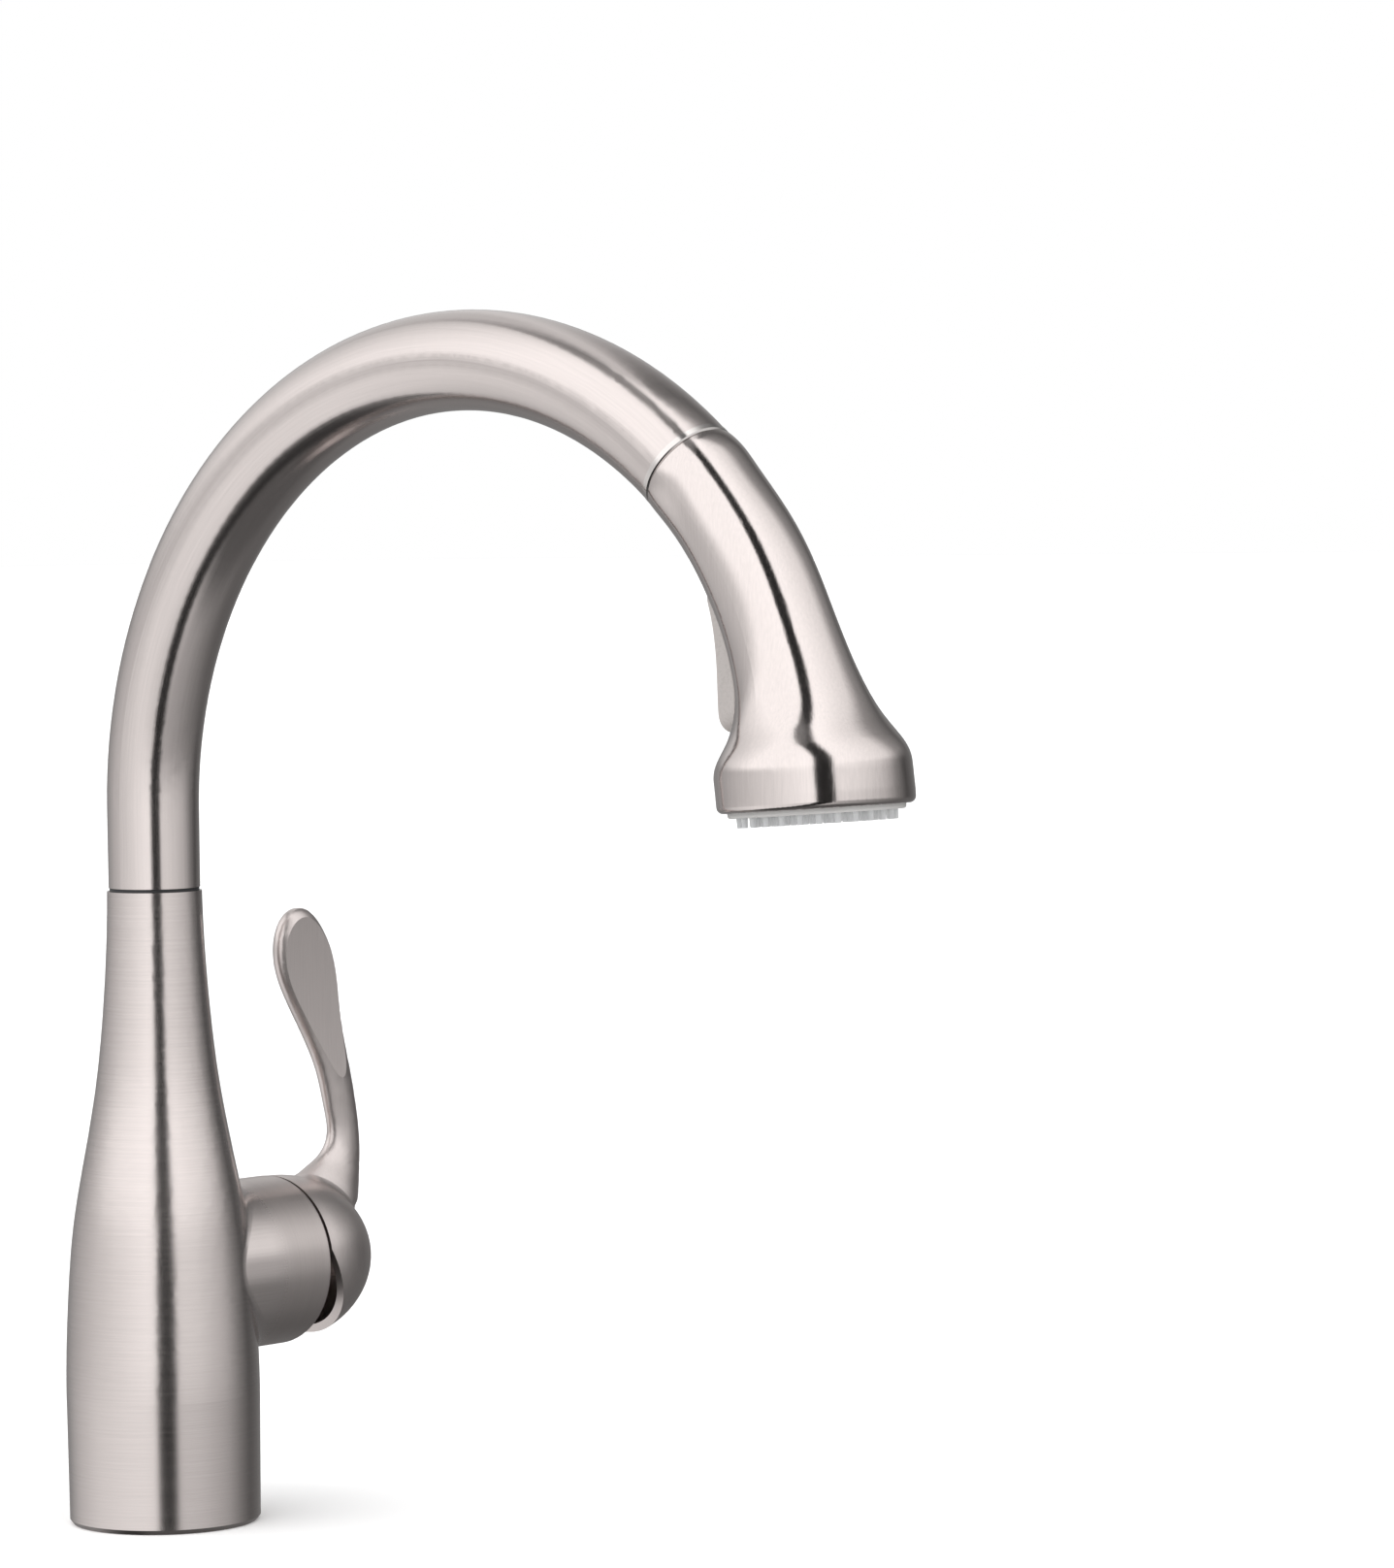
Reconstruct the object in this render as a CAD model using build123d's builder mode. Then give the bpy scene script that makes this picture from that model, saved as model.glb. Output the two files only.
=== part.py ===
from build123d import *
import os
from math import cos, radians, sin

# Pull down kitchen faucet. The origin is the centre of the base on the worktop's top face.
# +Z is up, the spout reaches towards -Y and the lever's hub points towards +X. Millimetres.

# ---- driving dimensions ----
BASE_R = 28.0  # column foot
COLUMN_TOP = 185.0  # top of the column, under the swivel seam
HUB_Z = 72.2  # height of the lever's hub axis
HUB_R = 25.1
HUB_MOUTH = 45.4  # x of the hub's rim
SEAT_X = 8.0  # x of the cartridge's seat in the hub
TILT_X = 32.0  # x of the lever's tilt axis

SHANK_R = 16.5  # threaded shank for a 35 mm hole
SHANK_BORE = 13.5
SHANK_END = -58.0
DECK = 30.0  # worktop thickness that the nut is drawn at

SPOUT_FOOT = 186.0  # bottom of the spout tube, above the seam
SPOUT_RISE = 208.6  # end of the tube's straight part
SPOUT_BEND = 127.45  # centre-line radius of the swan neck
SPOUT_TURN = 130.3  # degrees turned at the dock end of the tube
TUBE_FOOT_R = 13.35
TUBE_DOCK_R = 14.15
TUBE_BORE = 11.9

HOSE_R = 6.0
HOSE_X = -11.0  # the hose passes behind the valve block
PORT_X = 4.0  # supply channels in the valve block's back wall
PORT_Y = 8.0

HEAD_LENGTH = 101.3  # along the head's centre line, dock to bell edge
HEAD_BEND = (107.3, 58.0, 166.0)  # first radius, its length, second radius
BELL_OUT = 1.8  # the bell's centre stands this far outside the centre line
SHELL = 2.3  # wall of the spray head's shell
BUTTON_S = 53.5  # middle of the rocker button along the head
PIVOT_S = 50.0  # place of the button's axle along the head
PIVOT_OFF = 8.6  # its distance from the centre line

BASE = (Align.CENTER, Align.CENTER, Align.MIN)

os.makedirs("parts", exist_ok=True)


# ---- places that several pieces share ----
def hub_plane(x):
    """Plane square to the hub's axis at x, with its normal along +X."""
    return Plane(origin=(x, 0, HUB_Z), x_dir=(0, 1, 0), z_dir=(1, 0, 0))


DOCK_TILT = SPOUT_TURN - 90  # degrees below level at the dock
DOCK_DIR = Vector(0, -cos(radians(DOCK_TILT)), -sin(radians(DOCK_TILT)))
TUBE_END = Vector(
    0,
    SPOUT_BEND * (cos(radians(SPOUT_TURN)) - 1),
    SPOUT_RISE + SPOUT_BEND * sin(radians(SPOUT_TURN)),
)
RING_LENGTH = 2.0  # bevelled ring on the tube's end
DOCK_GAP = 0.5  # dark line between the ring and the head
DOCK = TUBE_END + DOCK_DIR * (RING_LENGTH + DOCK_GAP)


def head_plane(s, off=0.0):
    """Plane square to the head's centre line at s from the dock. Its y axis points to the button."""
    bend, length, bend_2 = HEAD_BEND
    start = radians(DOCK_TILT)
    if s <= 0:
        tilt = start
        place = DOCK + DOCK_DIR * s
    else:
        tilt = start + min(s, length) / bend
        place = DOCK + Vector(0, -bend * (sin(tilt) - sin(start)), bend * (cos(tilt) - cos(start)))
    if s > length:
        knee = tilt
        tilt = knee + (s - length) / bend_2
        place += Vector(0, -bend_2 * (sin(tilt) - sin(knee)), bend_2 * (cos(tilt) - cos(knee)))
    along = Vector(0, -cos(tilt), -sin(tilt))
    inward = Vector(0, sin(tilt), -cos(tilt))
    return Plane(origin=place + inward * off, x_dir=(-1, 0, 0), z_dir=along)


FACE = head_plane(HEAD_LENGTH, -BELL_OUT)  # plane of the bell's edge


# ---- column body: turned casting with the hub, the valve block and the supply channels ----
with BuildPart() as column_body:
    with BuildSketch(Plane.XZ):
        with BuildLine():
            Polyline((0, 0), (BASE_R - 1.2, 0), (BASE_R - 0.1, 1.4), (28.3, 38))
            Spline(
                (28.3, 38), (27.25, 67), (25.35, 87.6), (21.7, 108), (18.15, 128),
                (15.75, 149), (14.35, 169), (13.85, COLUMN_TOP),
                tangents=[(0, 1), (-0.02, 1)],
            )
            Polyline((13.85, COLUMN_TOP), (0, COLUMN_TOP), (0, 0))
        make_face()
    revolve(axis=Axis.Z)
    with Locations(hub_plane(0)):
        Cylinder(HUB_R, HUB_MOUTH, align=BASE)
    crease = column_body.edges(Select.NEW).filter_by(GeomType.CIRCLE, reverse=True)
    fillet(crease.filter_by(lambda e: e.length > 60), 5)
    rim = column_body.edges().filter_by(GeomType.CIRCLE).sort_by(Axis.X)[-1]
    fillet(rim, 0.6)
    # hollow of the column: shank thread, then the room above the floor, then the swivel bore
    with BuildSketch(Plane.XZ):
        with BuildLine():
            Polyline(
                (0, 22), (24.8, 22), (24.8, 62), (22.0, 88), (18.4, 108), (14.9, 128),
                (12.3, 146), (11.4, 149), (11.4, COLUMN_TOP), (0, COLUMN_TOP), (0, 22),
            )
        make_face()
    revolve(axis=Axis.Z, mode=Mode.SUBTRACT)
    Cylinder(SHANK_R, 10, align=BASE, mode=Mode.SUBTRACT)
    with BuildSketch():
        Circle(26.0)
        Circle(23.0, mode=Mode.SUBTRACT)
    extrude(amount=2.5, mode=Mode.SUBTRACT)
    # valve block inside the column, joined to the hub's wall
    with Locations(hub_plane(0)):
        Cylinder(HUB_R - 0.6, HUB_MOUTH - 4, align=BASE)
    with Locations((PORT_X, PORT_Y, 10), (PORT_X, -PORT_Y, 10), (PORT_X, 0, 38)):
        Cylinder(5.6, 18, align=BASE)
    with Locations((PORT_X, PORT_Y, 28), (PORT_X, -PORT_Y, 28)):
        Cylinder(5.6, 28, align=BASE)
    with Locations((10, 0, 10)):
        Cylinder(5.0, 38, align=BASE)
    # cartridge bore, nut thread and mouth
    with Locations(hub_plane(SEAT_X)):
        Cylinder(18.2, HUB_MOUTH, align=BASE, mode=Mode.SUBTRACT)
    with Locations(hub_plane(33.8)):
        Cylinder(19.4, HUB_MOUTH, align=BASE, mode=Mode.SUBTRACT)
    with Locations(hub_plane(42)):
        Cylinder(22.8, HUB_MOUTH, align=BASE, mode=Mode.SUBTRACT)
    # hot and cold channels, from their threaded ports to the seat
    with Locations((PORT_X, PORT_Y, 10), (PORT_X, -PORT_Y, 10)):
        Cylinder(4.5, 12, align=BASE, mode=Mode.SUBTRACT)
    with Locations((PORT_X, PORT_Y, 20), (PORT_X, -PORT_Y, 20)):
        Cylinder(2.4, 46, align=BASE, mode=Mode.SUBTRACT)
    with Locations(Plane.YZ.offset(PORT_X)):
        with Locations((PORT_Y, 66), (-PORT_Y, 66), (0, 81)):
            Cylinder(2.4, SEAT_X, align=BASE, mode=Mode.SUBTRACT)
    # mixed water channel, from the seat down beside the supplies
    with Locations((PORT_X, 0, 45)):
        Cylinder(2.4, 36, align=BASE, mode=Mode.SUBTRACT)
    with Locations(Plane.YZ.offset(PORT_X)):
        with Locations((0, 45)):
            Cylinder(2.4, 6, align=BASE, mode=Mode.SUBTRACT)
    with Locations((10, 0, 10)):
        Cylinder(2.4, 35, align=BASE, mode=Mode.SUBTRACT)
        Cylinder(3.5, 10, align=BASE, mode=Mode.SUBTRACT)
    # way for the pull-out hose through the floor
    with Locations((-7, 0, 10)):
        Cylinder(7.4, 14, align=BASE, mode=Mode.SUBTRACT)
column_body.part.label = "column_body"
export_step(column_body.part, "parts/column_body.step")

with BuildPart(Plane.XY) as base_seal:
    Cylinder(25.8, 2.4, align=BASE)
    Cylinder(23.2, 2.4, align=BASE, mode=Mode.SUBTRACT)
base_seal.part.label = "base_seal"
export_step(base_seal.part, "parts/base_seal.step")

# ---- mounting hardware under the worktop ----
with BuildPart(Plane.XY.offset(SHANK_END)) as mounting_shank:
    Cylinder(SHANK_R, 9.8 - SHANK_END, align=BASE)
    chamfer(mounting_shank.edges().group_by(Axis.Z)[0], 1.0)
    Cylinder(SHANK_BORE, 9.8 - SHANK_END, align=BASE, mode=Mode.SUBTRACT)
mounting_shank.part.label = "mounting_shank"
export_step(mounting_shank.part, "parts/mounting_shank.step")

with BuildPart(Plane.XY.offset(-DECK - 3)) as rubber_washer:
    Cylinder(27, 3, align=BASE)
    Cylinder(SHANK_R + 0.5, 3, align=BASE, mode=Mode.SUBTRACT)
rubber_washer.part.label = "rubber_washer"
export_step(rubber_washer.part, "parts/rubber_washer.step")

with BuildPart(Plane.XY.offset(-DECK - 5)) as steel_washer:
    Cylinder(27, 2, align=BASE)
    Cylinder(SHANK_R + 0.4, 2, align=BASE, mode=Mode.SUBTRACT)
    chamfer(steel_washer.edges().group_by(Axis.Z)[0].sort_by(SortBy.LENGTH)[-1], 0.5)
steel_washer.part.label = "steel_washer"
export_step(steel_washer.part, "parts/steel_washer.step")

NUT_TOP = -DECK - 8
SCREW_RING = 22.2
with BuildPart(Plane.XY.offset(NUT_TOP - 8)) as mounting_nut:
    Cylinder(26, 8, align=BASE)
    with PolarLocations(26, 6, start_angle=30):
        Cylinder(3.2, 8, align=BASE, mode=Mode.SUBTRACT)
    with PolarLocations(SCREW_RING, 3):
        Cylinder(2.6, 8, align=BASE, mode=Mode.SUBTRACT)
    Cylinder(SHANK_R, 8, align=BASE, mode=Mode.SUBTRACT)
mounting_nut.part.label = "mounting_nut"
export_step(mounting_nut.part, "parts/mounting_nut.step")

with BuildPart(Plane.XY.offset(NUT_TOP - 16)) as tension_screws:
    with PolarLocations(SCREW_RING, 3):
        Cylinder(2.5, 19, align=BASE)
        Cylinder(4.0, 4, align=BASE)
    with BuildSketch(Plane.XY.offset(NUT_TOP - 16)):
        with PolarLocations(SCREW_RING, 3):
            Rectangle(7, 1.2)
    extrude(amount=1.2, mode=Mode.SUBTRACT)
tension_screws.part.label = "tension_screws"
export_step(tension_screws.part, "parts/tension_screws.step")

with BuildPart(Plane(origin=(10, 0, -66))) as outlet_pipe:
    Cylinder(3.4, 86, align=BASE)
    Cylinder(2.4, 86, align=BASE, mode=Mode.SUBTRACT)
    fillet(outlet_pipe.edges().group_by(Axis.Z)[0].sort_by(SortBy.LENGTH)[-1], 0.4)
outlet_pipe.part.label = "outlet_pipe"
export_step(outlet_pipe.part, "parts/outlet_pipe.step")

TAIL_END = -126.0  # lower end of the supply tails
with BuildPart(Plane(origin=(PORT_X, PORT_Y, TAIL_END))) as hot_supply_tail:
    Cylinder(3.8, 20 - TAIL_END, align=BASE)
    Cylinder(4.8, 18, align=BASE)
    with Locations((0, 0, 10.4 - TAIL_END)):
        Cylinder(4.45, 9.6, align=BASE)
    Cylinder(2.4, 20 - TAIL_END, align=BASE, mode=Mode.SUBTRACT)
hot_supply_tail.part.label = "hot_supply_tail"
export_step(hot_supply_tail.part, "parts/hot_supply_tail.step")

with BuildPart() as cold_supply_tail:
    mirror(hot_supply_tail.part, about=Plane.XZ)
cold_supply_tail.part.label = "cold_supply_tail"
export_step(cold_supply_tail.part, "parts/cold_supply_tail.step")

with BuildPart(Plane(origin=(-7, 0, 10))) as hose_guide:
    Cylinder(7.3, 13.4, align=BASE)
    with Locations((0, 0, 12.2)):
        Cylinder(7.9, 1.2, align=BASE)
    Cylinder(6.4, 13.4, align=BASE, mode=Mode.SUBTRACT)
    fillet(hose_guide.edges().filter_by(GeomType.CIRCLE).group_by(Axis.Z)[-1], 0.35)
hose_guide.part.label = "hose_guide"
export_step(hose_guide.part, "parts/hose_guide.step")

# ---- valve cartridge in the hub ----
PORTS = ((PORT_Y, 66 - HUB_Z), (-PORT_Y, 66 - HUB_Z), (0, 81 - HUB_Z))

with BuildPart(hub_plane(SEAT_X)) as cartridge_base:
    Cylinder(17.9, 6, align=BASE)
    with Locations(*[(y, z, 0) for y, z in PORTS]):
        Cylinder(2.6, 6, align=BASE, mode=Mode.SUBTRACT)
        Cylinder(4.6, 1.2, align=BASE, mode=Mode.SUBTRACT)
cartridge_base.part.label = "cartridge_base"
export_step(cartridge_base.part, "parts/cartridge_base.step")

with BuildPart(hub_plane(SEAT_X)) as port_seals:
    with Locations(*[(y, z, 0) for y, z in PORTS]):
        Cylinder(4.5, 1.2, align=BASE)
        Cylinder(2.8, 1.2, align=BASE, mode=Mode.SUBTRACT)
port_seals.part.label = "port_seals"
export_step(port_seals.part, "parts/port_seals.step")

with BuildPart(hub_plane(SEAT_X + 6)) as fixed_disc:
    Cylinder(15.8, 3, align=BASE)
    with Locations(*[(y, z, 0) for y, z in PORTS]):
        Cylinder(2.6, 3, align=BASE, mode=Mode.SUBTRACT)
fixed_disc.part.label = "fixed_disc"
export_step(fixed_disc.part, "parts/fixed_disc.step")

with BuildPart(hub_plane(SEAT_X + 6)) as cartridge_housing:
    Cylinder(17.9, 20, align=BASE)
    with Locations((0, 0, 20)):
        Cylinder(14.6, 4, align=BASE)
    Cylinder(16.2, 18.4, align=BASE, mode=Mode.SUBTRACT)
    Cylinder(11.2, 30, align=BASE, mode=Mode.SUBTRACT)
cartridge_housing.part.label = "cartridge_housing"
export_step(cartridge_housing.part, "parts/cartridge_housing.step")

with BuildPart(hub_plane(34.1)) as cartridge_nut:
    Cylinder(19.3, 7.6, align=BASE)
    Cylinder(14.9, 7.6, align=BASE, mode=Mode.SUBTRACT)
    with PolarLocations(19.3, 6):
        with Locations((0, 0, 4.6)):
            Cylinder(2.2, 3, align=BASE, mode=Mode.SUBTRACT)
cartridge_nut.part.label = "cartridge_nut"
export_step(cartridge_nut.part, "parts/cartridge_nut.step")

with BuildPart() as hub_trim:
    with BuildSketch(Plane.XZ):
        with BuildLine():
            Polyline(
                (42.0, HUB_Z + 19.6), (42.0, HUB_Z + 22.6), (44.6, HUB_Z + 22.6),
                (46.4, HUB_Z + 19.4), (46.4, HUB_Z + 18.2), (44.6, HUB_Z + 18.2),
                (42.0, HUB_Z + 19.6),
            )
        make_face()
    revolve(axis=Axis((0, 0, HUB_Z), (1, 0, 0)))
hub_trim.part.label = "hub_trim"
export_step(hub_trim.part, "parts/hub_trim.step")

# rotor turns about the hub's axis and carries the tilt axle
with BuildPart() as rotor:
    with Locations(hub_plane(24.4)):
        Cylinder(16.1, 7.8, align=BASE)
        Cylinder(11.1, 14.8, align=BASE)
    with BuildSketch(hub_plane(24.4)):
        Rectangle(7.4, 19)
    extrude(amount=14.8, mode=Mode.SUBTRACT)
    with Locations(Plane(origin=(TILT_X, -12, HUB_Z), z_dir=(0, 1, 0))):
        Cylinder(1.5, 24, align=BASE, mode=Mode.SUBTRACT)
rotor.part.label = "rotor"
export_step(rotor.part, "parts/rotor.step")

with BuildPart(Plane(origin=(TILT_X, -10, HUB_Z), z_dir=(0, 1, 0))) as tilt_axle:
    Cylinder(1.48, 20, align=BASE)
tilt_axle.part.label = "tilt_axle"
export_step(tilt_axle.part, "parts/tilt_axle.step")

# ceramic disc that slides on the fixed disc, and its carrier with the socket for the spindle's ball
DISC_X = SEAT_X + 9.02
with BuildPart(hub_plane(DISC_X)) as moving_disc:
    Cylinder(10.8, 3.0, align=BASE)
    with BuildSketch(hub_plane(DISC_X)):
        with Locations((0, 1)):
            RectangleRounded(11, 9, 3)
    extrude(amount=1.6, mode=Mode.SUBTRACT)
moving_disc.part.label = "moving_disc"
export_step(moving_disc.part, "parts/moving_disc.step")

with BuildPart(hub_plane(DISC_X + 3.0)) as disc_carrier:
    Cylinder(11.2, 4.1, align=BASE)
    with Locations((0, 0, 0.6)):
        Cylinder(2.75, 4, align=BASE, mode=Mode.SUBTRACT)
disc_carrier.part.label = "disc_carrier"
export_step(disc_carrier.part, "parts/disc_carrier.step")

BALL_X = 23.3
with BuildPart() as spindle:
    with BuildSketch(hub_plane(27)):
        Rectangle(7.0, 7.0)
    extrude(amount=33)
    with Locations(hub_plane(BALL_X)):
        Cylinder(1.9, 6, align=BASE)
        Sphere(2.4)
    with Locations(Plane(origin=(TILT_X, -5, HUB_Z), z_dir=(0, 1, 0))):
        Cylinder(1.52, 10, align=BASE, mode=Mode.SUBTRACT)
    chamfer(spindle.faces().sort_by(Axis.X)[-1].edges(), 0.6)
spindle.part.label = "spindle"
export_step(spindle.part, "parts/spindle.step")

# ---- lever handle: dome cap and upright spoon lever in one casting ----
DOME_X = 48.0  # centre of the dome's ellipse
DOME_LONG = 30.3
DOME_R = 24.9
DOME_WALL = 2.6
RIM_GAP = 0.9  # gap between the hub and the cap's upper rim
RIM_KNEE = 4.5  # height over the hub's axis where the rim turns away from the hub
RIM_LEAN = 24.0  # degrees that the rim leans under that height, so that the cap can tilt
BLADE = (  # height, inner edge x, outer edge x, half thickness
    (80, 47.0, 74.0, 13.5),
    (87, 50.0, 78.8, 9.6),
    (93, 54.0, 81.0, 6.9),
    (97.5, 59.6, 81.9, 5.0),
    (101, 65.8, 82.25, 3.9),
    (106, 69.6, 82.3, 3.2),
    (115, 69.0, 81.2, 3.2),
    (126, 66.2, 78.8, 3.7),
    (138, 60.4, 75.8, 4.3),
    (148, 54.4, 74.2, 4.9),
    (158, 49.7, 72.9, 5.2),
    (165, 48.9, 70.6, 5.0),
    (170.5, 50.2, 67.4, 4.3),
    (173.8, 52.3, 64.6, 3.3),
    (175.6, 54.6, 62.2, 2.2),
)
BLADE_TIP = (58.4, 0, 176.4)
ROOT_FILLET = 4.0
BLADE_FACE = ((6.0, 102), (2.9, 138), (3.7, 180))  # half thickness of the flat faces at three heights
with BuildPart() as handle:
    with BuildSketch(Plane.XZ):
        with BuildLine():
            EllipticalCenterArc((DOME_X, HUB_Z), DOME_LONG, DOME_R, 0, arc_size=90)
            Polyline((DOME_X, HUB_Z + DOME_R), (DOME_X - 6, HUB_Z + DOME_R), (DOME_X - 6, HUB_Z))
            Line((DOME_X - 6, HUB_Z), (DOME_X + DOME_LONG, HUB_Z))
        make_face()
    revolve(axis=Axis((0, 0, HUB_Z), (1, 0, 0)))
    for height, inner, outer, half in BLADE:
        with BuildSketch(Plane.XY.offset(height)):
            with Locations(((inner + outer) / 2, 0)):
                Ellipse((outer - inner) / 2, half)
    loft(sections=[*handle.pending_faces, Vertex(*BLADE_TIP)])
    fillet(handle.edges(Select.NEW).filter_by(lambda e: 80 < e.bounding_box().max.Z < 100), ROOT_FILLET)
    # flat faces of the blade, slightly hollow along its length
    for side in (1, -1):
        with BuildSketch(Plane.YZ.offset(40)):
            with BuildLine():
                ThreePointArc(*[(side * half, height) for half, height in BLADE_FACE])
                Polyline(
                    (side * BLADE_FACE[2][0], 180), (side * 12, 180), (side * 12, 102),
                    (side * BLADE_FACE[0][0], 102),
                )
            make_face()
        extrude(amount=50, mode=Mode.SUBTRACT)
    # hollow behind the dome
    with BuildSketch(Plane.XZ):
        with BuildLine():
            EllipticalCenterArc((DOME_X, HUB_Z), DOME_LONG - DOME_WALL, DOME_R - DOME_WALL, 0, arc_size=90)
            Polyline(
                (DOME_X, HUB_Z + DOME_R - DOME_WALL), (DOME_X - 8, HUB_Z + DOME_R - DOME_WALL),
                (DOME_X - 8, HUB_Z),
            )
            Line((DOME_X - 8, HUB_Z), (DOME_X + DOME_LONG - DOME_WALL, HUB_Z))
        make_face()
    revolve(axis=Axis((0, 0, HUB_Z), (1, 0, 0)), mode=Mode.SUBTRACT)
    with Locations(hub_plane(47)):
        Cylinder(7.6, 28.2, align=BASE)
    # rim: beside the hub above, leaning away from it below
    knee_x = HUB_MOUTH + RIM_GAP
    knee_z = HUB_Z + RIM_KNEE
    lean = radians(RIM_LEAN)
    foot_x = knee_x + (knee_z - 40) * sin(lean) / cos(lean)
    with BuildSketch(Plane.XZ):
        with BuildLine():
            Polyline((knee_x, 100), (knee_x, knee_z), (foot_x, 40), (30, 40), (30, 100), (knee_x, 100))
        make_face()
    extrude(amount=40, both=True, mode=Mode.SUBTRACT)
    with BuildSketch(hub_plane(40)):
        Rectangle(7.1, 7.1)
    extrude(amount=21, mode=Mode.SUBTRACT)
    with Locations(Plane(origin=(54, 0, HUB_Z), z_dir=(0, 0, -1))):
        Cylinder(2.5, 12, align=BASE, mode=Mode.SUBTRACT)
handle.part.label = "handle"
export_step(handle.part, "parts/handle.step")

with BuildPart(Plane(origin=(54, 0, HUB_Z - 3.6), z_dir=(0, 0, -1))) as grub_screw:
    Cylinder(2.45, 6.5, align=BASE)
    chamfer(grub_screw.edges().filter_by(GeomType.CIRCLE).group_by(Axis.Z)[-1], 0.8)
    with BuildSketch(Plane(origin=(54, 0, HUB_Z - 10.1), z_dir=(0, 0, 1))):
        RegularPolygon(1.3, 6)
    extrude(amount=3, mode=Mode.SUBTRACT)
grub_screw.part.label = "grub_screw"
export_step(grub_screw.part, "parts/grub_screw.step")

# ---- swivel joint between the column and the spout ----
with BuildPart(Plane.XY.offset(152)) as lower_bush:
    Cylinder(11.38, 8, align=BASE)
    Cylinder(10.25, 8, align=BASE, mode=Mode.SUBTRACT)
lower_bush.part.label = "lower_bush"
export_step(lower_bush.part, "parts/lower_bush.step")

with BuildPart(Plane.XY.offset(174)) as upper_bush:
    Cylinder(11.38, 10.6, align=BASE)
    Cylinder(10.25, 10.6, align=BASE, mode=Mode.SUBTRACT)
upper_bush.part.label = "upper_bush"
export_step(upper_bush.part, "parts/upper_bush.step")

with BuildPart() as swivel_seals:
    with Locations((0, 0, 164), (0, 0, 169)):
        Torus(10.82, 0.55)
swivel_seals.part.label = "swivel_seals"
export_step(swivel_seals.part, "parts/swivel_seals.step")

with BuildPart(Plane.XY.offset(COLUMN_TOP)) as slip_ring:
    Cylinder(13.1, 0.9, align=BASE)
    Cylinder(10.6, 0.9, align=BASE, mode=Mode.SUBTRACT)
slip_ring.part.label = "slip_ring"
export_step(slip_ring.part, "parts/slip_ring.step")

with BuildPart(Plane.XY.offset(148.6)) as swivel_sleeve:
    Cylinder(10.2, SPOUT_FOOT - 148.6, align=BASE)
    with Locations((0, 0, SPOUT_FOOT - 148.6)):
        Cylinder(TUBE_BORE - 0.02, 20, align=BASE)
    with Locations((0, 0, 1.6)):
        Cylinder(10.4, 1.5, align=BASE, mode=Mode.SUBTRACT)
        Cylinder(9.5, 1.5, align=BASE)
    Cylinder(8.2, 80, align=BASE, mode=Mode.SUBTRACT)
swivel_sleeve.part.label = "swivel_sleeve"
export_step(swivel_sleeve.part, "parts/swivel_sleeve.step")

with BuildPart(Plane.XY.offset(150.3)) as swivel_clip:
    Cylinder(11.0, 1.2, align=BASE)
    Cylinder(9.55, 1.2, align=BASE, mode=Mode.SUBTRACT)
    with Locations((0, 11, 0)):
        Box(4, 6, 1.2, align=BASE, mode=Mode.SUBTRACT)
swivel_clip.part.label = "swivel_clip"
export_step(swivel_clip.part, "parts/swivel_clip.step")

# ---- spout: swan-neck tube, bevelled ring and docking bush ----
tube_end_plane = Plane(origin=TUBE_END, x_dir=(-1, 0, 0), z_dir=DOCK_DIR)
with BuildPart() as gooseneck_tube:
    with BuildLine() as tube_path:
        Line((0, 0, SPOUT_FOOT), (0, 0, SPOUT_RISE))
        with BuildLine(Plane.YZ):
            CenterArc((-SPOUT_BEND, SPOUT_RISE), SPOUT_BEND, 0, SPOUT_TURN)
    with BuildSketch(Plane.XY.offset(SPOUT_FOOT)):
        Circle(TUBE_FOOT_R)
    with BuildSketch(tube_end_plane):
        Circle(TUBE_DOCK_R)
    sweep(path=tube_path.wires()[0], multisection=True)
    with BuildSketch(Plane.XY.offset(SPOUT_FOOT)):
        Circle(TUBE_BORE)
    sweep(path=tube_path.wires()[0], mode=Mode.SUBTRACT)
gooseneck_tube.part.label = "gooseneck_tube"
export_step(gooseneck_tube.part, "parts/gooseneck_tube.step")

with BuildPart(tube_end_plane) as spout_ring:
    Cylinder(TUBE_DOCK_R + 0.1, RING_LENGTH, align=BASE)
    chamfer(spout_ring.faces().sort_by(Axis.Y)[0].edges(), 0.5)
    Cylinder(TUBE_BORE, RING_LENGTH, align=BASE, mode=Mode.SUBTRACT)
spout_ring.part.label = "spout_ring"
export_step(spout_ring.part, "parts/spout_ring.step")

with BuildPart(head_plane(-14)) as dock_bush:
    Cylinder(10.9, 13.4, align=BASE)
    with Locations((0, 0, 9.5)):
        Cylinder(11.7, 3.9, align=BASE)
    Cylinder(9.6, 13.4, align=BASE, mode=Mode.SUBTRACT)
dock_bush.part.label = "dock_bush"
export_step(dock_bush.part, "parts/dock_bush.step")

# ---- pull-out hose: the stretch in the column, the stretch in the spout and the lead at the dock ----
HOSE_SPLIT = 168.0
LEAD_BACK = 15.0  # degrees of the neck from the lead's start to the tube's end
LEAD_LENGTH = 6.4  # degrees of the neck that the lead covers
with BuildPart() as hose_lower:
    with BuildLine() as lower_path:
        FilletPolyline(
            (-7, 0, -76), (-7, 0, 32), (HOSE_X, 0, 60), (HOSE_X, 0, 98), (0, 0, 142),
            (0, 0, HOSE_SPLIT), radius=60,
        )
    with BuildSketch(Plane.XY.offset(-76)):
        with Locations((-7, 0)):
            Circle(HOSE_R)
    sweep(path=lower_path.line)
hose_lower.part.label = "hose_lower"
export_step(hose_lower.part, "parts/hose_lower.step")

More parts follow.
